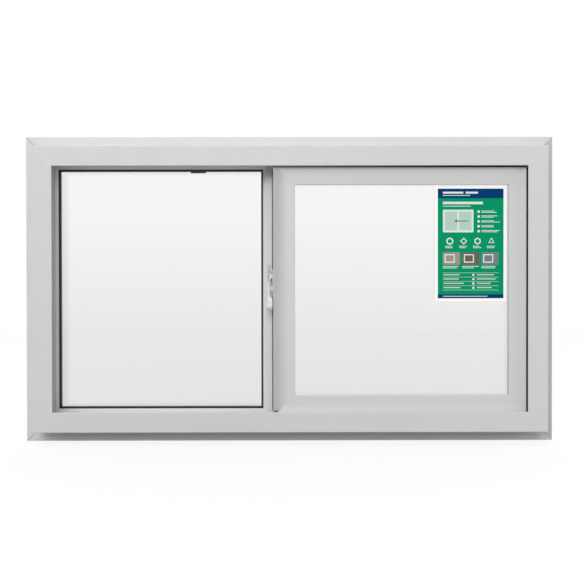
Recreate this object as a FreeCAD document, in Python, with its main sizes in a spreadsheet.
"""Horizontal sliding window: a welded frame with a fixed lite on the left and a sliding sash on the right.

Units are millimetres. X runs along the window, to the right as seen from the room, Y from the room
to the outside and Z up. The origin lies on the room side of the mounting flange, at the middle of
its bottom leg. In a profile, inset is the distance from the member's outer face towards the daylight.
"""
import FreeCAD, Part
import math
import os

import Sketcher
from FreeCAD import Placement, Rotation, Vector

SHEET_NAME = "Sizes"
EPS = 1e-6

# Every driving size of the window, in millimetres or degrees
DRIVING_SIZES = {
    # Whole frame
    "body_width": 900.0,
    "body_height": 500.0,
    "profile_depth": 75.0,
    "room_depth": 44.0,
    "flange_reach": 23.0,
    "flange_thick": 2.5,
    # Frame profile
    "box_depth": 20.0,
    "frame_wall": 2.5,
    "lip_reach": 15.0,
    "lip_thick": 3.0,
    "ridge_setback": 25.5,
    "ridge_height": 12.0,
    "ridge_thick": 3.0,
    "rib_thick": 4.5,
    "rib_bevel": 5.0,
    "rib_nose": 0.5,
    "edge_round": 1.2,
    "tip_round": 0.8,
    "weep_length": 32.0,
    "weep_height": 5.0,
    "weep_spacing": 560.0,
    # Fixed lite
    "mullion_offset": 47.2,
    "glazing_gap": 4.0,
    "pane_thick": 4.0,
    "cavity": 6.0,
    "spacer_width": 5.0,
    "spacer_inset": 1.0,
    "gasket_thick": 4.5,
    "gasket_lip": 3.6,
    "gasket_back": 7.0,
    "outer_gasket_thick": 2.0,
    "bead_setback": 1.0,
    "bead_slope": 4.0,
    "block_length": 80.0,
    "packer_length": 27.0,
    "packer_drop": 2.4,
    "packer_place": 266.0,
    # Sash
    "mullion_reveal": 17.6,
    "top_lift": 8.4,
    "bottom_gap": 5.0,
    "right_gap": 6.7,
    "guide_gap": 5.0,
    "rear_gap": 5.0,
    "leg_thick": 2.0,
    "leg_reach": 8.0,
    "root_depth": 13.0,
    "sash_setback": 8.0,
    "sash_face": 30.6,
    "sash_wall": 2.5,
    "cove_depth": 4.4,
    "cove_width": 21.6,
    "cove_land": 1.2,
    "strip_lift": 4.0,
    "sash_bead_width": 12.0,
    "sash_bead_round": 1.5,
    "seal_thick": 1.5,
    "seal_setback": 1.0,
    "rear_lip_thick": 3.0,
    "rear_lip_drop": 4.0,
    # Running gear
    "pile_height": 4.4,
    "pile_width": 4.0,
    "roller_radius": 7.5,
    "roller_width": 6.0,
    "roller_groove": 1.2,
    "roller_side_gap": 0.4,
    "roller_gap": 0.3,
    "roller_inset": 70.0,
    "axle_radius": 1.5,
    "axle_gap": 0.1,
    "housing_length": 40.0,
    "housing_height": 9.5,
    "housing_wall": 1.5,
    "housing_gap": 0.5,
    "tread_plate": 1.5,
    "tread_overhang": 8.0,
    "guide_length": 30.0,
    "guide_inset": 60.0,
    "top_guide_gap": 1.0,
    "stop_length": 25.0,
    "stop_cheek": 6.5,
    "stop_drop": 2.0,
    "stop_chamfer": 4.0,
    "stop_place": 30.4,
    # Latch
    "latch_height": 25.5,
    "tongue_entry": 4.0,
    "pin_radius": 2.5,
    "pin_head": 3.8,
    "pin_gap": 0.08,
    "hub_radius": 6.2,
    "hub_thick": 5.2,
    "plate_thick": 1.2,
    "plate_width": 22.0,
    "plate_top": 9.0,
    "plate_bottom": 39.0,
    "plate_round": 4.0,
    "washer": 0.3,
    "boss_radius": 4.5,
    "boss_height": 3.0,
    "boss_drop": 25.5,
    "tongue_reach": 14.5,
    "tongue_width": 7.0,
    "tongue_thick": 4.6,
    "tongue_angle": 45.0,
    "handle_drop": 63.0,
    "handle_lean": 20.0,
    "handle_waist": 8.0,
    "handle_pad": 15.0,
    "handle_thick": 2.4,
    "handle_bow": 2.6,
    "pad_reach": 10.6,
    "pad_length": 25.0,
    "keeper_thick": 1.5,
    "keeper_width": 13.0,
    "keeper_height": 30.0,
    "keeper_round": 2.0,
    "slot_side_gap": 1.2,
    "slot_low": 5.5,
    "slot_high": 11.0,
}


class Length:
    """A value together with the formula that gives it from the sheet of driving sizes."""

    def __init__(self, value, text):
        self.value = float(value)
        self.text = text

    def __add__(self, other):
        other = as_length(other)
        return Length(self.value + other.value, f"({self.text} + {other.text})")

    def __sub__(self, other):
        other = as_length(other)
        return Length(self.value - other.value, f"({self.text} - {other.text})")

    def __mul__(self, factor):
        return Length(self.value * factor, f"({self.text} * {factor})")

    def __truediv__(self, divisor):
        return Length(self.value / divisor, f"({self.text} / {divisor})")

    def __neg__(self):
        return Length(-self.value, f"(-1 * {self.text})")


def as_length(value):
    """Wraps a plain number, so that it can stand in a formula."""
    if isinstance(value, Length):
        return value
    return Length(value, repr(float(value)))


def size(name):
    """The driving size of that name, bound to its cell."""
    return Length(DRIVING_SIZES[name], f"{SHEET_NAME}.{name}")


def make_sheet(doc):
    """Writes the driving sizes into a sheet, a name and a number to each row."""
    sheet = doc.addObject("Spreadsheet::Sheet", SHEET_NAME)
    for row, (name, value) in enumerate(DRIVING_SIZES.items(), start=1):
        sheet.set(f"A{row}", name)
        sheet.set(f"B{row}", repr(value))
        sheet.setAlias(f"B{row}", name)
    doc.recompute()


# Levels along Y, from the room to the outside
room_face = -size("room_depth")
outer_face = room_face + size("profile_depth")
lip_back = room_face + size("lip_thick")
ridge_front = room_face + size("ridge_setback")
ridge_back = ridge_front + size("ridge_thick")
channel_front = ridge_front - size("guide_gap")
channel_back = ridge_back + size("guide_gap")
sash_back = channel_back + size("leg_thick")
front_leg = channel_front - size("leg_thick")
rib_front = sash_back + size("rear_gap")
rib_back = rib_front + size("rib_thick")
glass_thick = size("pane_thick") * 2 + size("cavity")
fixed_glass_front = rib_back + size("gasket_thick")
fixed_glass_back = fixed_glass_front + glass_thick
fixed_bead_front = fixed_glass_back + size("outer_gasket_thick")
fixed_bead_back = outer_face - size("bead_setback")
sash_ridge = room_face + size("sash_setback")
sash_flat = sash_ridge + size("cove_depth")
rear_lip_front = sash_back - size("rear_lip_thick")
sash_glass_back = rear_lip_front - size("seal_thick")
sash_glass_front = sash_glass_back - glass_thick
sash_bead_back = sash_glass_front - size("seal_thick")

# Insets of the frame profile
sight_inset = size("box_depth") + size("lip_reach")
ridge_inset = size("box_depth") + size("ridge_height")
gasket_inset = sight_inset + size("gasket_lip")
glass_inset = size("box_depth") + size("glazing_gap")

# Insets of the sash profile, from the tips of its legs
face_inset = size("leg_reach")
sash_sight = face_inset + size("sash_face")
bead_inset = sash_sight - size("sash_bead_width")
sash_glass_inset = bead_inset + size("glazing_gap")
rear_sight = sash_sight - size("rear_lip_drop")
cove_start = size("cove_land")
cove_end = cove_start + size("cove_width")

# Outline of the frame body
body_left = -(size("body_width") / 2)
body_right = size("body_width") / 2
body_bottom = size("flange_reach") / 2
body_top = body_bottom + size("body_height")
body_middle = body_bottom + size("body_height") / 2

# Outline of the fixed lite, measured at the floor of its glazing pocket
mullion_left = -size("mullion_offset")
mullion_back = mullion_left + sight_inset
lite_left = body_left + size("box_depth")
lite_right = mullion_left + size("lip_reach")
lite_bottom = body_bottom + size("box_depth")
lite_top = body_top - size("box_depth")

# Outline of the sash, measured at the tips of its legs
sash_left = mullion_left + size("mullion_reveal")
sash_right = body_right - size("box_depth") - size("right_gap")
sash_bottom = body_bottom + size("box_depth") + size("bottom_gap")
sash_top = body_top - size("box_depth") - size("top_lift")

# Latch, on the left edge of the sash
latch_z = body_middle + size("latch_height")
latch_y = rib_front + size("tongue_entry") - size("tongue_reach")
plate_face = sash_left - size("plate_thick")
hub_right = plate_face - size("washer")
hub_left = hub_right - size("hub_thick")
tongue_right = hub_right - (size("hub_thick") - size("tongue_thick")) / 2
tongue_left = tongue_right - size("tongue_thick")


class Box:
    """A rectangle in the plane of the window, by the formulas of its four sides."""

    def __init__(self, left, right, bottom, top):
        self.left = left
        self.right = right
        self.bottom = bottom
        self.top = top

    def inset(self, distance):
        """The rectangle that lies that far inside this one."""
        return Box(self.left + distance, self.right - distance, self.bottom + distance, self.top - distance)

    @property
    def wide(self):
        return self.right - self.left

    @property
    def high(self):
        return self.top - self.bottom

    @property
    def centre_x(self):
        return (self.left + self.right) / 2

    @property
    def centre_z(self):
        return (self.bottom + self.top) / 2


BODY_BOX = Box(body_left, body_right, body_bottom, body_top)
LITE_BOX = Box(lite_left, lite_right, lite_bottom, lite_top)
SASH_BOX = Box(sash_left, sash_right, sash_bottom, sash_top)

# Each side's turn about Y, which takes a profile's inset direction to the middle of the window
LEFT, TOP, RIGHT, BOTTOM = 0.0, 90.0, 180.0, 270.0


def origin_plane(body, role):
    """The body's own origin plane of that role."""
    return next(item for item in body.Origin.OriginFeatures if item.Role == role)


def new_body(doc, label):
    body = doc.addObject("PartDesign::Body", label)
    body.Label = label
    return body


def new_sketch(body, name, role, offset=None):
    """A sketch on one of the body's origin planes, lifted along its normal by an offset."""
    sketch = body.newObject("Sketcher::SketchObject", name)
    sketch.AttachmentSupport = (origin_plane(body, role), [""])
    sketch.MapMode = "FlatFace"
    if offset is not None:
        sketch.setExpression("AttachmentOffset.Base.z", offset.text)
    return sketch


def add_outline(sketch, corners, arc_centres=None):
    """Adds a closed outline, its corners bound to their formulas.

    arc_centres gives, for the number of a side, the centre of the arc that takes the straight
    side's place. Such a side runs clockwise round its centre.
    """
    arc_centres = arc_centres or {}
    first = sketch.GeometryCount
    points = [Vector(as_length(a).value, as_length(b).value, 0) for a, b in corners]
    count = len(points)
    shapes = []
    for index, start in enumerate(points):
        end = points[(index + 1) % count]
        if index in arc_centres:
            centre = Vector(*[as_length(part).value for part in arc_centres[index]], 0)
            circle = Part.Circle(centre, Vector(0, 0, 1), (start - centre).Length)
            shapes.append(Part.ArcOfCircle(circle, circle.parameter(end), circle.parameter(start)))
        else:
            shapes.append(Part.LineSegment(start, end))
    sketch.addGeometry(shapes, False)
    constraints = []
    formulas = []
    for index, corner in enumerate(corners):
        start_point = 2 if index in arc_centres else 1
        end_point = 1 if index in arc_centres else 2
        follower = (index + 1) % count
        follower_point = 2 if follower in arc_centres else 1
        constraints.append(
            Sketcher.Constraint("Coincident", first + index, end_point, first + follower, follower_point)
        )
        formulas.append(None)
        for axis, formula in zip(("DistanceX", "DistanceY"), corner):
            formula = as_length(formula)
            constraints.append(
                Sketcher.Constraint(axis, -1, 1, first + index, start_point, formula.value)
            )
            formulas.append(formula)
    for index, (centre_first, _) in arc_centres.items():
        centre_first = as_length(centre_first)
        constraints.append(Sketcher.Constraint("DistanceX", -1, 1, first + index, 3, centre_first.value))
        formulas.append(centre_first)
    numbers = sketch.addConstraint(constraints)
    for number, formula in zip(numbers, formulas):
        if formula is not None:
            sketch.setExpression(f"Constraints[{number}]", formula.text)


def add_rectangle(sketch, low_a, high_a, low_b, high_b):
    add_outline(sketch, [(low_a, low_b), (high_a, low_b), (high_a, high_b), (low_a, high_b)])


def add_rounded_rectangle(sketch, low_a, high_a, low_b, high_b, radius):
    """Adds a rectangle whose corners are quarter circles."""
    low_a, high_a, low_b, high_b = (as_length(part) for part in (low_a, high_a, low_b, high_b))
    left, right = low_a + radius, high_a - radius
    bottom, top = low_b + radius, high_b - radius
    add_outline(
        sketch,
        [
            (low_a, bottom),
            (low_a, top),
            (left, high_b),
            (right, high_b),
            (high_a, top),
            (high_a, bottom),
            (right, low_b),
            (left, low_b),
        ],
        {1: (left, top), 3: (right, top), 5: (right, bottom), 7: (left, bottom)},
    )


def add_circle(sketch, centre_a, centre_b, radius):
    """Adds a circle whose centre and radius are bound to their formulas."""
    centre_a, centre_b, radius = as_length(centre_a), as_length(centre_b), as_length(radius)
    centre = Vector(centre_a.value, centre_b.value, 0)
    circle = sketch.addGeometry(Part.Circle(centre, Vector(0, 0, 1), radius.value), False)
    bound = (
        (Sketcher.Constraint("DistanceX", -1, 1, circle, 3, centre_a.value), centre_a),
        (Sketcher.Constraint("DistanceY", -1, 1, circle, 3, centre_b.value), centre_b),
        (Sketcher.Constraint("Radius", circle, radius.value), radius),
    )
    for constraint, formula in bound:
        number = sketch.addConstraint(constraint)
        sketch.setExpression(f"Constraints[{number}]", formula.text)


def pad(body, sketch, name, length, symmetric=False, reverse=False):
    feature = body.newObject("PartDesign::Pad", name)
    feature.Profile = sketch
    feature.setExpression("Length", length.text)
    if symmetric:
        feature.SideType = "Symmetric"
    feature.Reversed = reverse
    return feature


def pocket_through(body, sketch, name):
    """Cuts the sketch's outlines through all of the body, both ways."""
    feature = body.newObject("PartDesign::Pocket", name)
    feature.Profile = sketch
    feature.SideType = "Symmetric"
    feature.Type = "ThroughAll"
    return feature


def pocket_blind(body, sketch, name, depth, reverse=False):
    feature = body.newObject("PartDesign::Pocket", name)
    feature.Profile = sketch
    feature.setExpression("Length", depth.text)
    feature.Reversed = reverse
    return feature


def round_runs(doc, body, base, name, corners, radius):
    """Rounds the base's long edges that pass through the given corners of its profile."""
    doc.recompute()
    picked = []
    for number, edge in enumerate(base.Shape.Edges, start=1):
        start, end = edge.Vertexes[0].Point, edge.Vertexes[-1].Point
        if abs(start.x - end.x) > EPS or abs(start.y - end.y) > EPS or edge.Length < EPS:
            continue
        for a, b in corners:
            if abs(start.x - a.value) < 1e-4 and abs(start.y - b.value) < 1e-4:
                picked.append(f"Edge{number}")
    feature = body.newObject("PartDesign::Fillet", name)
    feature.Base = (base, picked)
    feature.setExpression("Radius", radius.text)
    return feature


def cut_mitres(body, run, low_inset, high_inset, half_length):
    """Cuts both ends of a run at 45 degrees, so that it meets its neighbours in the corners."""
    sketch = new_sketch(body, body.Label + "_mitres", "XZ_Plane")
    for way in (1, -1):
        low = (low_inset, (half_length - low_inset) * way)
        high = (high_inset, (half_length - high_inset) * way)
        far = (high_inset, (half_length - low_inset) * way)
        add_outline(sketch, [low, high, far] if way > 0 else [low, far, high])
    return pocket_through(body, sketch, body.Label + "_mitre_cut")


def place_side(body, side, box):
    """Puts a member on one side of a box, with its inset pointing to the box's middle."""
    spots = {
        LEFT: (box.left, box.centre_z),
        TOP: (box.centre_x, box.top),
        RIGHT: (box.right, box.centre_z),
        BOTTOM: (box.centre_x, box.bottom),
    }
    along_x, along_z = spots[side]
    body.Placement = Placement(Vector(0, 0, 0), Rotation(Vector(0, 1, 0), side))
    body.setExpression("Placement.Base.x", along_x.text)
    body.setExpression("Placement.Base.z", along_z.text)


def side_length(side, box):
    return box.high if side in (LEFT, RIGHT) else box.wide


def make_member(doc, label, side, box, profile, insets, rounds=()):
    """A mitred run of a profile along one side of a box.

    profile draws its outlines into a sketch, insets are the least and greatest inset that it
    reaches, and rounds pairs lists of corners with the radius that they get.
    """
    body = new_body(doc, label)
    sketch = new_sketch(body, label + "_section", "XY_Plane")
    profile(sketch)
    low_inset, high_inset = insets
    length = side_length(side, box) - low_inset * 2
    feature = pad(body, sketch, label + "_run", length, symmetric=True)
    for number, (corners, radius) in enumerate(rounds):
        feature = round_runs(doc, body, feature, f"{label}_round_{number}", corners, radius)
    cut_mitres(body, feature, low_inset, high_inset, side_length(side, box) / 2)
    place_side(body, side, box)
    return body


# Frame

def frame_section(sketch):
    """Box, covering lip, guide ridge, glazing rib and mounting flange, with three chambers."""
    wall = size("frame_wall")
    floor = size("box_depth")
    add_outline(sketch, [
        (0, room_face),
        (sight_inset, room_face),
        (sight_inset, lip_back),
        (floor, lip_back),
        (floor, ridge_front),
        (ridge_inset, ridge_front),
        (ridge_inset, ridge_back),
        (floor, ridge_back),
        (floor, rib_front),
        (sight_inset - size("rib_bevel"), rib_front),
        (sight_inset, rib_back - size("rib_nose")),
        (sight_inset, rib_back),
        (floor, rib_back),
        (floor, outer_face),
        (0, outer_face),
        (0, size("flange_thick")),
        (-size("flange_reach"), size("flange_thick")),
        (-size("flange_reach"), 0),
        (0, 0),
    ])
    ridge_web = (ridge_front + ridge_back) / 2
    rib_web = (rib_front + rib_back) / 2
    half_web = wall / 2
    levels = (
        (room_face + wall, ridge_web - half_web),
        (ridge_web + half_web, rib_web - half_web),
        (rib_web + half_web, outer_face - wall),
    )
    for low, high in levels:
        add_rectangle(sketch, wall, floor - wall, low, high)


def make_frame(doc):
    """The four welded members of the frame, and the slots that drain its sill."""
    rounds = (
        ([(as_length(0), room_face)], size("edge_round")),
        ([(sight_inset, room_face), (sight_inset, lip_back)], size("tip_round")),
        ([(ridge_inset, ridge_front), (ridge_inset, ridge_back)], size("tip_round")),
    )
    names = (
        ("frame_head", TOP),
        ("frame_sill", BOTTOM),
        ("frame_left_jamb", LEFT),
        ("frame_right_jamb", RIGHT),
    )
    insets = (-size("flange_reach"), sight_inset)
    bodies = {}
    for label, side in names:
        bodies[label] = make_member(doc, label, side, BODY_BOX, frame_section, insets, rounds)
    sill = bodies["frame_sill"]
    sketch = new_sketch(sill, "weep_slots", "XZ_Plane", -outer_face)
    half_slot = size("weep_length") / 2
    low = size("frame_wall") * 2
    for way in (1, -1):
        middle = size("weep_spacing") / 2 * way
        add_rectangle(sketch, low, low + size("weep_height"), middle - half_slot, middle + half_slot)
    pocket_blind(sill, sketch, "weep_cut", size("frame_wall") * 2, reverse=True)
    return list(bodies.values())


def make_mullion(doc):
    """The fixed post that takes the glass on its left and covers the closed sash's edge."""
    body = new_body(doc, "fixed_mullion")
    wall = size("frame_wall")
    floor = size("box_depth")
    section = new_sketch(body, "mullion_box", "XY_Plane")
    add_rectangle(section, 0, floor, rib_back, outer_face)
    add_rectangle(section, wall, floor - wall, rib_back + wall, outer_face - wall)
    pad(body, section, "mullion_box_run", LITE_BOX.high, symmetric=True)
    face = new_sketch(body, "mullion_face", "XY_Plane")
    add_outline(face, [
        (0, rib_front),
        (sight_inset - size("rib_bevel"), rib_front),
        (sight_inset, rib_back - size("rib_nose")),
        (sight_inset, rib_back),
        (0, rib_back),
    ])
    bevel_box = BODY_BOX.inset(sight_inset - size("rib_bevel"))
    pad(body, face, "mullion_face_run", bevel_box.high, symmetric=True)
    cope = new_sketch(body, "mullion_cope", "YZ_Plane")
    for way in (1, -1):
        low = BODY_BOX.inset(sight_inset).high / 2 * way
        high = bevel_box.high / 2 * way
        add_outline(cope, [
            (rib_front, high),
            (rib_back - size("rib_nose"), low),
            (rib_back, low),
            (rib_back, high),
        ])
    pocket_through(body, cope, "mullion_cope_cut")

    # The local X axis points left, so the keeper's places are measured from the post's right face
    middle = mullion_back - (tongue_left + tongue_right) / 2
    half_keeper = size("keeper_width") / 2
    recess = new_sketch(body, "keeper_recess", "XZ_Plane", -rib_front)
    low_z, high_z = keeper_levels()
    corner = size("keeper_round")
    add_rounded_rectangle(recess, middle - half_keeper, middle + half_keeper, -high_z, -low_z, corner)
    pocket_blind(body, recess, "keeper_recess_cut", size("keeper_thick"))
    slot = new_sketch(body, "keeper_slot", "XZ_Plane", -rib_front)
    half_slot = size("tongue_thick") / 2 + size("slot_side_gap")
    slot_low, slot_high = slot_levels()
    add_rectangle(slot, middle - half_slot, middle + half_slot, -slot_high, -slot_low)
    pocket_blind(body, slot, "keeper_slot_cut", size("rib_thick"))
    body.Placement = Placement(Vector(0, 0, 0), Rotation(Vector(0, 1, 0), RIGHT))
    body.setExpression("Placement.Base.x", mullion_back.text)
    body.setExpression("Placement.Base.z", body_middle.text)
    return body


def slot_levels():
    """The ends of the tongue's slot above the middle of the window."""
    return size("latch_height") - size("slot_low"), size("latch_height") + size("slot_high")


def keeper_levels():
    """The ends of the keeper plate above the middle of the window."""
    slot_low, slot_high = slot_levels()
    middle = (slot_low + slot_high) / 2
    return middle - size("keeper_height") / 2, middle + size("keeper_height") / 2


def make_keeper(doc):
    """The slotted plate, flush in the mullion's face, that the latch's tongue enters."""
    body = new_body(doc, "latch_keeper")
    sketch = new_sketch(body, "keeper_plate", "XZ_Plane", -rib_front)
    low_z, high_z = keeper_levels()
    half_keeper = size("keeper_width") / 2
    add_rounded_rectangle(sketch, -half_keeper, half_keeper, low_z, high_z, size("keeper_round"))
    slot_low, slot_high = slot_levels()
    half_slot = size("tongue_thick") / 2 + size("slot_side_gap")
    add_rectangle(sketch, -half_slot, half_slot, slot_low, slot_high)
    pad(body, sketch, "keeper_run", size("keeper_thick"), reverse=True)
    body.setExpression("Placement.Base.x", ((tongue_left + tongue_right) / 2).text)
    body.setExpression("Placement.Base.z", body_middle.text)
    return body


# Flat rings and plates that lie parallel to the window

def make_plate(doc, label, box, front, back):
    """A flat plate that fills a box between two levels of Y."""
    body = new_body(doc, label)
    sketch = new_sketch(body, label + "_outline", "XZ_Plane", -front)
    add_rectangle(sketch, -(box.wide / 2), box.wide / 2, -(box.high / 2), box.high / 2)
    pad(body, sketch, label + "_run", back - front, reverse=True)
    body.setExpression("Placement.Base.x", box.centre_x.text)
    body.setExpression("Placement.Base.z", box.centre_z.text)
    return body


def make_ring(doc, label, outer, inner, front, back):
    """A flat rectangular ring between two boxes and two levels of Y."""
    body = new_body(doc, label)
    sketch = new_sketch(body, label + "_outline", "XZ_Plane", -front)
    for box in (outer, inner):
        add_rectangle(
            sketch,
            box.left - outer.centre_x,
            box.right - outer.centre_x,
            box.bottom - outer.centre_z,
            box.top - outer.centre_z,
        )
    pad(body, sketch, label + "_run", back - front, reverse=True)
    body.setExpression("Placement.Base.x", outer.centre_x.text)
    body.setExpression("Placement.Base.z", outer.centre_z.text)
    return body


def make_insulating_glass(doc, prefix, box, front):
    """Two panes and the bar that spaces them."""
    back_of_first = front + size("pane_thick")
    front_of_second = back_of_first + size("cavity")
    bar = box.inset(size("spacer_inset"))
    return [
        make_plate(doc, prefix + "_pane_room", box, front, back_of_first),
        make_ring(doc, prefix + "_spacer", bar, bar.inset(size("spacer_width")), back_of_first, front_of_second),
        make_plate(doc, prefix + "_pane_outer", box, front_of_second, front_of_second + size("pane_thick")),
    ]


# Fixed lite

def fixed_bead_section(sketch):
    """A bead that runs from the pocket's floor to the sight line, sloped towards the outside."""
    reach = size("lip_reach")
    add_outline(sketch, [
        (0, fixed_bead_front),
        (reach, fixed_bead_front),
        (reach, fixed_bead_back - size("bead_slope")),
        (reach - size("bead_slope"), fixed_bead_back),
        (0, fixed_bead_back),
    ])


def packer_box():
    """The packer's place at the top of the fixed lite, in front of the gasket's line."""
    left = lite_left + size("packer_place") - size("packer_length") / 2
    right = left + size("packer_length")
    top = body_top - gasket_inset + size("gasket_back") + size("gasket_lip")
    return Box(left, right, body_top - gasket_inset - size("packer_drop"), top)


def make_fixed_lite(doc):
    """Glass, gaskets, outside beads, packer and setting blocks of the fixed lite."""
    glass_box = LITE_BOX.inset(size("glazing_gap"))
    sight_box = LITE_BOX.inset(size("lip_reach"))
    gasket_inner = sight_box.inset(size("gasket_lip"))
    gasket_outer = sight_box.inset(-size("gasket_back"))
    parts = make_insulating_glass(doc, "fixed", glass_box, fixed_glass_front)

    gasket = make_ring(doc, "fixed_gasket_room", gasket_outer, gasket_inner, rib_back, fixed_glass_front)
    notch_box = packer_box()
    notch = new_sketch(gasket, "packer_notch", "XZ_Plane", -rib_back)
    add_rectangle(
        notch,
        notch_box.left - gasket_outer.centre_x,
        notch_box.right - gasket_outer.centre_x,
        notch_box.bottom - gasket_outer.centre_z,
        notch_box.top - gasket_outer.centre_z,
    )
    pocket_blind(gasket, notch, "packer_notch_cut", size("gasket_thick"))
    parts.append(gasket)
    parts.append(make_plate(doc, "glazing_packer", notch_box, rib_back, fixed_glass_front))
    parts.append(
        make_ring(doc, "fixed_gasket_outer", gasket_outer, sight_box, fixed_glass_back, fixed_bead_front)
    )
    sides = (("top", TOP), ("bottom", BOTTOM), ("left", LEFT), ("right", RIGHT))
    for word, side in sides:
        insets = (as_length(0), size("lip_reach"))
        parts.append(make_member(doc, f"fixed_bead_{word}", side, LITE_BOX, fixed_bead_section, insets))
    parts.append(
        make_blocks(doc, "fixed_setting_blocks", glass_box, LITE_BOX.bottom, fixed_glass_front, fixed_glass_back)
    )
    return parts


def make_blocks(doc, label, glass_box, floor, front, back):
    """Two blocks that carry the glass, a quarter of its width from each end."""
    body = new_body(doc, label)
    sketch = new_sketch(body, label + "_outline", "XZ_Plane", -front)
    half_block = size("block_length") / 2
    for way in (1, -1):
        middle = glass_box.wide / 4 * way
        add_rectangle(sketch, middle - half_block, middle + half_block, 0, glass_box.bottom - floor)
    pad(body, sketch, label + "_run", back - front, reverse=True)
    body.setExpression("Placement.Base.x", glass_box.centre_x.text)
    body.setExpression("Placement.Base.z", floor.text)
    return body


# Sash

def cove_radius():
    """The radius of the arc that falls by the cove's depth over its width and ends level."""
    width, depth = size("cove_width"), size("cove_depth")
    value = (width.value ** 2 + depth.value ** 2) / (2 * depth.value)
    return Length(value, f"(({width.text} ^ 2 + {depth.text} ^ 2) / (2 * {depth.text}))")


def cove_level(inset):
    """The level of the cove's arc at an inset."""
    radius = cove_radius()
    away = cove_end - inset
    value = sash_flat.value - radius.value + math.sqrt(radius.value ** 2 - away.value ** 2)
    return Length(value, f"({sash_flat.text} - {radius.text} + sqrt({radius.text} ^ 2 - {away.text} ^ 2))")


def cove_centre():
    return cove_end, sash_flat - cove_radius()


def sash_section(sketch):
    """Cove, flat face, glazing pocket and the two legs that straddle the ridge."""
    wall = size("sash_wall")
    add_outline(
        sketch,
        [
            (face_inset, cove_level(face_inset)),
            (cove_end, sash_flat),
            (bead_inset, sash_flat),
            (bead_inset, rear_lip_front),
            (rear_sight, rear_lip_front),
            (rear_sight, sash_back),
            (0, sash_back),
            (0, channel_back),
            (size("root_depth"), channel_back),
            (size("root_depth"), channel_front),
            (0, channel_front),
            (0, front_leg),
            (face_inset, front_leg),
        ],
        {0: cove_centre()},
    )
    front_chamber = (face_inset + wall, bead_inset - wall, sash_flat + wall, front_leg - size("leg_thick") / 2)
    back_chamber = (
        size("root_depth") + wall,
        bead_inset - wall,
        front_leg + size("leg_thick") / 2 + size("leg_thick"),
        sash_back - wall,
    )
    for low_a, high_a, low_b, high_b in (front_chamber, back_chamber):
        add_rectangle(sketch, low_a, high_a, low_b, high_b)


def sash_bead_section(sketch):
    """A bead from the pocket's wall to the sight line, with a foot beside the glass."""
    add_outline(sketch, [
        (0, sash_flat),
        (size("sash_bead_width"), sash_flat),
        (size("sash_bead_width"), sash_bead_back),
        (size("glazing_gap") - size("seal_setback"), sash_bead_back),
        (size("glazing_gap") - size("seal_setback"), sash_glass_front),
        (0, sash_glass_front),
    ])


def make_sash(doc):
    """The four welded members of the sash, its beads, glass, seals and cover strip."""
    rounds = (
        ([(face_inset, cove_level(face_inset))], size("tip_round")),
    )
    names = (
        ("sash_top_rail", TOP),
        ("sash_bottom_rail", BOTTOM),
        ("sash_meeting_stile", LEFT),
        ("sash_right_stile", RIGHT),
    )
    insets = (as_length(0), sash_sight)
    members = {}
    for label, side in names:
        edge_rounds = () if side == LEFT else rounds
        members[label] = make_member(doc, label, side, SASH_BOX, sash_section, insets, edge_rounds)
    cut_roller_slots(members["sash_bottom_rail"])
    parts = list(members.values())

    pocket_box = SASH_BOX.inset(bead_inset)
    bead_rounds = (
        ([(size("sash_bead_width"), sash_flat)], size("sash_bead_round")),
    )
    for word, side in (("top", TOP), ("bottom", BOTTOM), ("left", LEFT), ("right", RIGHT)):
        insets = (as_length(0), size("sash_bead_width"))
        parts.append(
            make_member(doc, f"sash_bead_{word}", side, pocket_box, sash_bead_section, insets, bead_rounds)
        )
    glass_box = SASH_BOX.inset(sash_glass_inset)
    room_seal_inner = SASH_BOX.inset(sash_sight - size("seal_setback"))
    outer_seal_inner = SASH_BOX.inset(rear_sight - size("seal_setback"))
    parts += make_insulating_glass(doc, "sash", glass_box, sash_glass_front)
    parts.append(make_ring(doc, "sash_seal_room", glass_box, room_seal_inner, sash_bead_back, sash_glass_front))
    parts.append(
        make_ring(doc, "sash_seal_outer", glass_box, outer_seal_inner, sash_glass_back, rear_lip_front)
    )
    parts.append(
        make_blocks(doc, "sash_setting_blocks", glass_box, pocket_box.bottom, sash_glass_front, sash_glass_back)
    )
    parts.append(make_interlock_strip(doc))
    return parts


def make_interlock_strip(doc):
    """The strip that fills the meeting stile's edge and carries its cove on to a narrow land."""
    bottom = sash_bottom + face_inset + size("strip_lift")
    box = Box(sash_left, sash_left + face_inset, bottom, sash_top - face_inset)
    body = new_body(doc, "interlock_strip")
    sketch = new_sketch(body, "interlock_strip_section", "XY_Plane")
    add_outline(
        sketch,
        [
            (0, sash_ridge),
            (cove_start, sash_ridge),
            (face_inset, cove_level(face_inset)),
            (face_inset, front_leg),
            (0, front_leg),
        ],
        {1: cove_centre()},
    )
    run = pad(body, sketch, "interlock_strip_run", box.high, symmetric=True)
    round_runs(doc, body, run, "interlock_strip_round", [(as_length(0), sash_ridge)], size("tip_round"))
    body.setExpression("Placement.Base.x", box.left.text)
    body.setExpression("Placement.Base.z", box.centre_z.text)
    return body


# Running gear

def roller_middles():
    """The rollers' places along the sash, from its middle."""
    reach = SASH_BOX.wide / 2 - size("roller_inset")
    return (-reach, reach)


def housing_levels():
    """The two side faces of a roller housing, with a gap to the chamber's walls."""
    middle = (ridge_front + ridge_back) / 2
    half = (channel_back - channel_front) / 2 - size("housing_gap") * 2
    return middle - half, middle + half


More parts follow.
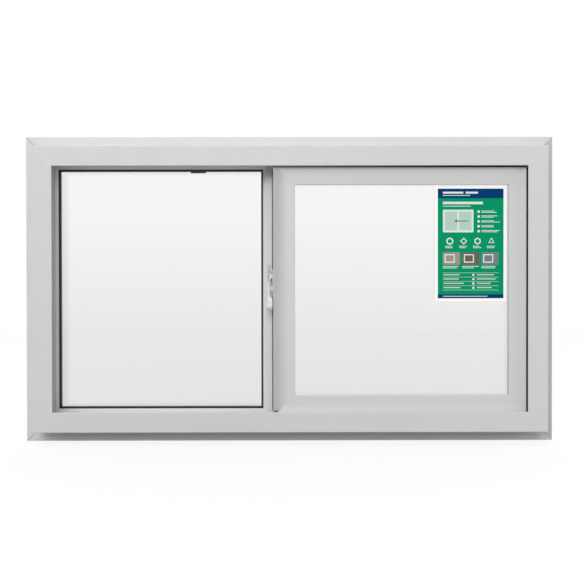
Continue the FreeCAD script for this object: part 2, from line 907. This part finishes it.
def cut_roller_slots(rail):
    """Cuts the slots in the rail's underside that take the roller housings."""
    low_y, high_y = housing_levels()
    gap = size("housing_gap") / 2
    sketch = new_sketch(rail, "roller_slots", "XZ_Plane", -(low_y - gap))
    half_slot = size("housing_length") / 2 + gap
    root = size("root_depth")
    for middle in roller_middles():
        add_rectangle(sketch, root - gap, root + size("sash_wall") + gap, middle - half_slot, middle + half_slot)
    pocket_blind(rail, sketch, "roller_slot_cut", high_y - low_y + gap * 2)


def make_rollers(doc):
    """The roller housings, and the grooved wheels that run on the sill's ridge."""
    ridge_top = body_bottom + ridge_inset
    root_z = sash_bottom + size("root_depth")
    wheel_z = ridge_top + size("roller_gap") + size("roller_radius") - size("roller_groove")
    middle_y = (ridge_front + ridge_back) / 2
    low_y, high_y = housing_levels()
    half_housing = size("housing_length") / 2

    housings = new_body(doc, "roller_housings")
    outline = new_sketch(housings, "housing_outline", "XZ_Plane", -low_y)
    plate = new_sketch(housings, "tread_outline", "XZ_Plane", -low_y)
    well = new_sketch(housings, "wheel_well", "XZ_Plane", -(low_y + size("housing_wall")))
    axles = new_sketch(housings, "axle_outline", "XZ_Plane", -low_y)
    half_well = size("roller_radius") + size("housing_wall")
    half_plate = half_housing + size("tread_overhang")
    for middle in roller_middles():
        add_rectangle(outline, middle - half_housing, middle + half_housing, 0, size("housing_height"))
        add_rectangle(plate, middle - half_plate, middle + half_plate, -size("tread_plate"), 0)
        add_rectangle(
            well,
            middle - half_well,
            middle + half_well,
            -size("tread_plate"),
            size("housing_height"),
        )
        add_circle(axles, middle, wheel_z - root_z, size("axle_radius"))
    depth = high_y - low_y
    pad(housings, outline, "housing_run", depth, reverse=True)
    pad(housings, plate, "tread_run", depth, reverse=True)
    pocket_blind(housings, well, "wheel_well_cut", depth - size("housing_wall") * 2)
    pad(housings, axles, "axle_run", depth, reverse=True)
    housings.setExpression("Placement.Base.x", SASH_BOX.centre_x.text)
    housings.setExpression("Placement.Base.z", root_z.text)

    wheels = new_body(doc, "roller_wheels")
    section = new_sketch(wheels, "wheel_section", "XY_Plane")
    half_width = size("roller_width") / 2
    half_groove = size("ridge_thick") / 2 + size("roller_side_gap")
    bore = size("axle_radius") + size("axle_gap")
    rim = size("roller_radius")
    tread = rim - size("roller_groove")
    add_outline(section, [
        (bore, -half_width),
        (rim, -half_width),
        (rim, -half_groove),
        (tread, -half_groove),
        (tread, half_groove),
        (rim, half_groove),
        (rim, half_width),
        (bore, half_width),
    ])
    turn = wheels.newObject("PartDesign::Revolution", "wheel_turn")
    turn.Profile = section
    turn.ReferenceAxis = (section, ["V_Axis"])
    turn.Angle = 360
    wheels.setExpression("Placement.Base.x", (SASH_BOX.centre_x + roller_middles()[0]).text)
    wheels.setExpression("Placement.Base.y", middle_y.text)
    wheels.setExpression("Placement.Base.z", wheel_z.text)
    doc.recompute()
    pair = wheels.newObject("PartDesign::LinearPattern", "wheel_pair")
    pair.Originals = [turn]
    pair.Direction = (section, ["H_Axis"])
    pair.setExpression("Length", (roller_middles()[1] - roller_middles()[0]).text)
    pair.Occurrences = 2
    wheels.Tip = pair
    return [housings, wheels]


def make_top_guides(doc):
    """Two forked blocks in the sash's top channel that keep it on the head's ridge."""
    body = new_body(doc, "top_guides")
    middle_y = (ridge_front + ridge_back) / 2
    half_width = (channel_back - channel_front) / 2
    half_slot = size("ridge_thick") / 2 + size("top_guide_gap")
    root_z = sash_top - size("root_depth")
    ridge_tip = body_top - ridge_inset
    sketch = new_sketch(body, "guide_fork", "YZ_Plane")
    add_outline(sketch, [
        (-half_width, 0),
        (half_width, 0),
        (half_width, size("root_depth")),
        (half_slot, size("root_depth")),
        (half_slot, ridge_tip - root_z - size("guide_gap")),
        (-half_slot, ridge_tip - root_z - size("guide_gap")),
        (-half_slot, size("root_depth")),
        (-half_width, size("root_depth")),
    ])
    first = pad(body, sketch, "guide_run", size("guide_length"), symmetric=True)
    reach = SASH_BOX.wide - size("guide_inset") * 2
    body.setExpression("Placement.Base.x", (sash_left + size("guide_inset")).text)
    body.setExpression("Placement.Base.y", middle_y.text)
    body.setExpression("Placement.Base.z", root_z.text)
    doc.recompute()
    pair = body.newObject("PartDesign::LinearPattern", "guide_pair")
    pair.Originals = [first]
    pair.Direction = (sketch, ["N_Axis"])
    pair.setExpression("Length", reach.text)
    pair.Occurrences = 2
    body.Tip = pair
    return body


def make_pile_seals(doc):
    """Brush strips on the back of the sash, one along each side."""
    body = new_body(doc, "sash_pile_seals")
    sketch = new_sketch(body, "pile_outline", "XZ_Plane", -sash_back)
    width = size("pile_width")
    half_wide = SASH_BOX.wide / 2
    half_high = SASH_BOX.high / 2
    start = size("leg_thick") / 2
    for way in (1, -1):
        inner_z = (half_high - start - width) * way
        outer_z = (half_high - start) * way
        add_rectangle(sketch, -(half_wide - start - width), half_wide - start - width, inner_z, outer_z)
        inner_x = (half_wide - start - width) * way
        outer_x = (half_wide - start) * way
        add_rectangle(sketch, inner_x, outer_x, -(half_high - start), half_high - start)
    pad(body, sketch, "pile_run", size("pile_height"), reverse=True)
    body.setExpression("Placement.Base.x", SASH_BOX.centre_x.text)
    body.setExpression("Placement.Base.z", SASH_BOX.centre_z.text)
    return body


def make_travel_stop(doc):
    """The forked block on the sill's ridge whose shoulders meet the sash's legs and end its travel."""
    body = new_body(doc, "travel_stop")
    sketch = new_sketch(body, "stop_fork", "YZ_Plane")
    half_ridge = size("ridge_thick") / 2
    half_width = half_ridge + size("stop_cheek")
    top = sight_inset - size("box_depth") - size("stop_drop")
    bevel = size("stop_chamfer")
    add_outline(sketch, [
        (-half_width, 0),
        (-half_ridge, 0),
        (-half_ridge, size("ridge_height")),
        (half_ridge, size("ridge_height")),
        (half_ridge, 0),
        (half_width, 0),
        (half_width, top - bevel),
        (half_width - bevel, top),
        (-half_width + bevel, top),
        (-half_width, top - bevel),
    ])
    pad(body, sketch, "stop_run", size("stop_length"), reverse=True)
    stop_face = lite_left + size("stop_place") + size("stop_length")
    body.setExpression("Placement.Base.x", stop_face.text)
    body.setExpression("Placement.Base.y", ((ridge_front + ridge_back) / 2).text)
    body.setExpression("Placement.Base.z", (body_bottom + size("box_depth")).text)
    return body


# Latch

def make_latch_base(doc):
    """The plate on the sash's edge, with the lever's pin and the boss of its screw."""
    body = new_body(doc, "latch_base")
    sketch = new_sketch(body, "plate_outline", "YZ_Plane", sash_left)
    half_width = size("plate_width") / 2
    middle_y = (sash_ridge + sash_back) / 2
    add_rounded_rectangle(
        sketch,
        middle_y - half_width,
        middle_y + half_width,
        latch_z - size("plate_bottom"),
        latch_z + size("plate_top"),
        size("plate_round"),
    )
    pad(body, sketch, "plate_run", size("plate_thick"), reverse=True)
    pin = new_sketch(body, "pin_outline", "YZ_Plane", sash_left)
    add_circle(pin, latch_y, latch_z, size("pin_radius"))
    pin_length = sash_left - hub_left + size("washer")
    pad(body, pin, "pin_run", pin_length, reverse=True)
    head = new_sketch(body, "pin_head_outline", "YZ_Plane", hub_left - size("washer"))
    add_circle(head, latch_y, latch_z, size("pin_head"))
    pad(body, head, "pin_head_run", size("plate_thick"), reverse=True)
    boss = new_sketch(body, "boss_outline", "YZ_Plane", sash_left)
    add_circle(boss, middle_y, latch_z - size("boss_drop"), size("boss_radius"))
    pad(body, boss, "boss_run", size("plate_thick") + size("boss_height"), reverse=True)
    return body


def smooth_loop(points):
    """A closed smooth curve through points given as pairs in a plane of Y and Z."""
    curve = Part.BSplineCurve()
    curve.interpolate(Points=[Vector(0, a, b) for a, b in points], PeriodicFlag=True)
    return Part.Wire([curve.toShape()])


def make_latch_lever(doc):
    """The lever: a hub on the pin, a tongue, and a bowed handle that ends in a thumb pad.

    The handle is what two outlines have in common: one seen from the side, which leans out
    towards the room, and one seen from the front, which bows away from the sash's edge.
    """
    pivot = Vector(0, latch_y.value, latch_z.value)
    lean = math.radians(size("handle_lean").value)
    drop = size("handle_drop").value
    along = Vector(0, -math.sin(lean), -math.cos(lean))
    across = Vector(0, math.cos(lean), -math.sin(lean))

    def side_point(distance, offset):
        spot = pivot + along * distance + across * offset
        return spot.y, spot.z

    hub = size("hub_radius").value
    waist = size("handle_waist").value / 2
    pad_half = size("handle_pad").value / 2
    reach = drop / math.cos(lean)
    stations = ((0.0, hub), (0.38, waist), (0.62, waist * 1.1), (0.86, pad_half), (0.97, pad_half * 0.72))
    right_side = [side_point(reach * share, half) for share, half in stations]
    left_side = [side_point(reach * share, -half) for share, half in reversed(stations)]
    outline = smooth_loop(right_side + [side_point(reach, 0)] + left_side + [side_point(-hub, 0)])
    span = size("pad_reach").value + size("hub_thick").value
    side_view = Part.Face(outline).extrude(Vector(-span * 2, 0, 0))
    side_view.translate(Vector(hub_right.value + span / 2, 0, 0))

    thick = size("handle_thick").value
    bow = size("handle_bow").value
    top_z = latch_z.value + hub
    low_z = latch_z.value - drop
    pad_top = low_z + size("pad_length").value
    neck_z = latch_z.value - hub
    outer_x = hub_left.value - bow
    pad_x = hub_right.value - size("pad_reach").value
    inner_x = outer_x + thick
    mid_z = (neck_z + pad_top) / 2
    front_points = [
        (hub_right.value, top_z),
        (hub_right.value, neck_z + 1.0),
        (inner_x, neck_z - (inner_x - outer_x)),
        (inner_x, mid_z),
        (inner_x, pad_top),
        (hub_right.value, pad_top - 4.0),
        (hub_right.value, low_z + 2.0),
        (hub_right.value - 2.0, low_z),
        (pad_x + 2.5, low_z),
        (pad_x, low_z + 3.0),
        (outer_x - 0.6, pad_top),
        (outer_x, mid_z),
        (hub_left.value, neck_z),
        (hub_left.value, top_z),
    ]
    wire = Part.makePolygon([Vector(x, 0, z) for x, z in front_points + front_points[:1]])
    depth = size("profile_depth").value
    front_view = Part.Face(wire).extrude(Vector(0, depth, 0))
    front_view.translate(Vector(0, room_face.value, 0))
    handle = side_view.common(front_view)

    hub_disc = Part.makeCylinder(
        hub, size("hub_thick").value, Vector(hub_left.value, latch_y.value, latch_z.value), Vector(1, 0, 0)
    )
    half_tongue = size("tongue_width").value / 2
    tongue_reach = size("tongue_reach").value
    tongue_thick = size("tongue_thick").value
    tongue = Part.makeBox(tongue_thick, half_tongue * 2, tongue_reach - half_tongue)
    tongue.translate(Vector(0, -half_tongue, 0))
    tip_spot = Vector(0, 0, tongue_reach - half_tongue)
    tongue = tongue.fuse(Part.makeCylinder(half_tongue, tongue_thick, tip_spot, Vector(1, 0, 0)))
    tongue.rotate(Vector(0, 0, 0), Vector(1, 0, 0), size("tongue_angle").value)
    tongue.translate(Vector(tongue_left.value, latch_y.value, latch_z.value))
    bore_radius = size("pin_radius").value + size("pin_gap").value
    bore = Part.makeCylinder(
        bore_radius,
        size("hub_thick").value * 3,
        Vector(hub_left.value - size("hub_thick").value, latch_y.value, latch_z.value),
        Vector(1, 0, 0),
    )
    lever = doc.addObject("Part::Feature", "latch_lever")
    lever.Label = "latch_lever"
    lever.Shape = handle.fuse([hub_disc, tongue]).cut(bore).removeSplitter()
    return lever


def check_objects(doc, parts):
    """Stops the build if any object failed, or a sub-part's shape is missing or not valid."""
    failed = [item.Label for item in doc.Objects if {"Invalid", "Error"} & set(item.State)]
    if failed:
        raise RuntimeError(f"objects not built: {failed}")
    for part in parts:
        if part.Shape.isNull() or not part.Shape.isValid() or part.Shape.Volume <= 0:
            raise RuntimeError(f"shape not valid: {part.Label}")


def build():
    """Builds every sub-part and writes each to its own file."""
    doc = FreeCAD.newDocument("sliding_window")
    make_sheet(doc)
    parts = make_frame(doc)
    parts.append(make_mullion(doc))
    parts.append(make_keeper(doc))
    parts += make_fixed_lite(doc)
    parts.append(make_travel_stop(doc))
    parts += make_sash(doc)
    parts += make_rollers(doc)
    parts.append(make_top_guides(doc))
    parts.append(make_pile_seals(doc))
    parts.append(make_latch_base(doc))
    parts.append(make_latch_lever(doc))
    doc.recompute()
    check_objects(doc, parts)
    os.makedirs("parts", exist_ok=True)
    for part in parts:
        part.Shape.exportStep(f"parts/{part.Label}.step")
        box = part.Shape.BoundBox
        print(
            f"{part.Label:22s} X {box.XMin:8.2f} {box.XMax:8.2f}  Y {box.YMin:7.2f} {box.YMax:7.2f}"
            f"  Z {box.ZMin:7.2f} {box.ZMax:7.2f}  solids {len(part.Shape.Solids)}"
        )


build()
